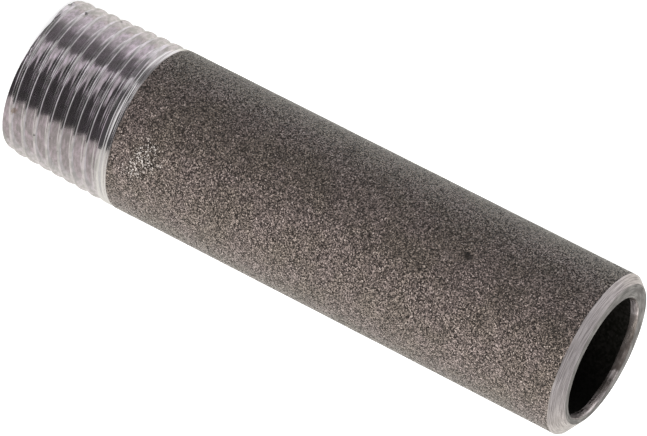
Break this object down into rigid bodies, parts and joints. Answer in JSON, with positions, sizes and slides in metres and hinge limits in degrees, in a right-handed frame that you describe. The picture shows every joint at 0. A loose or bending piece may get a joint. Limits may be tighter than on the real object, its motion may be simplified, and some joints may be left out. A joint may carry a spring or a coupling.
{
  "type": "weld nipple",
  "caption": "Steel weld nipple: a straight pipe length with a right-hand taper pipe thread on one end and a bevel for welding on the other.",
  "frame": {"origin": "centre of the threaded end face, which the part stands on", "axes": "+Z along the tube from the threaded end to the weld end; +X is the side on which the weld bevel is widest; -Y is the side that faces the picture's camera"},
  "size_m": [0.0212, 0.0212, 0.08],
  "materials": {
    "mill_scale_steel": "dark grey-brown mill scale on the tube, bare bright steel on the thread, the bevel and the land"
  },
  "bodies": {
    "root": {"weld_nipple": "mill_scale_steel"}
  },
  "joints": []
}
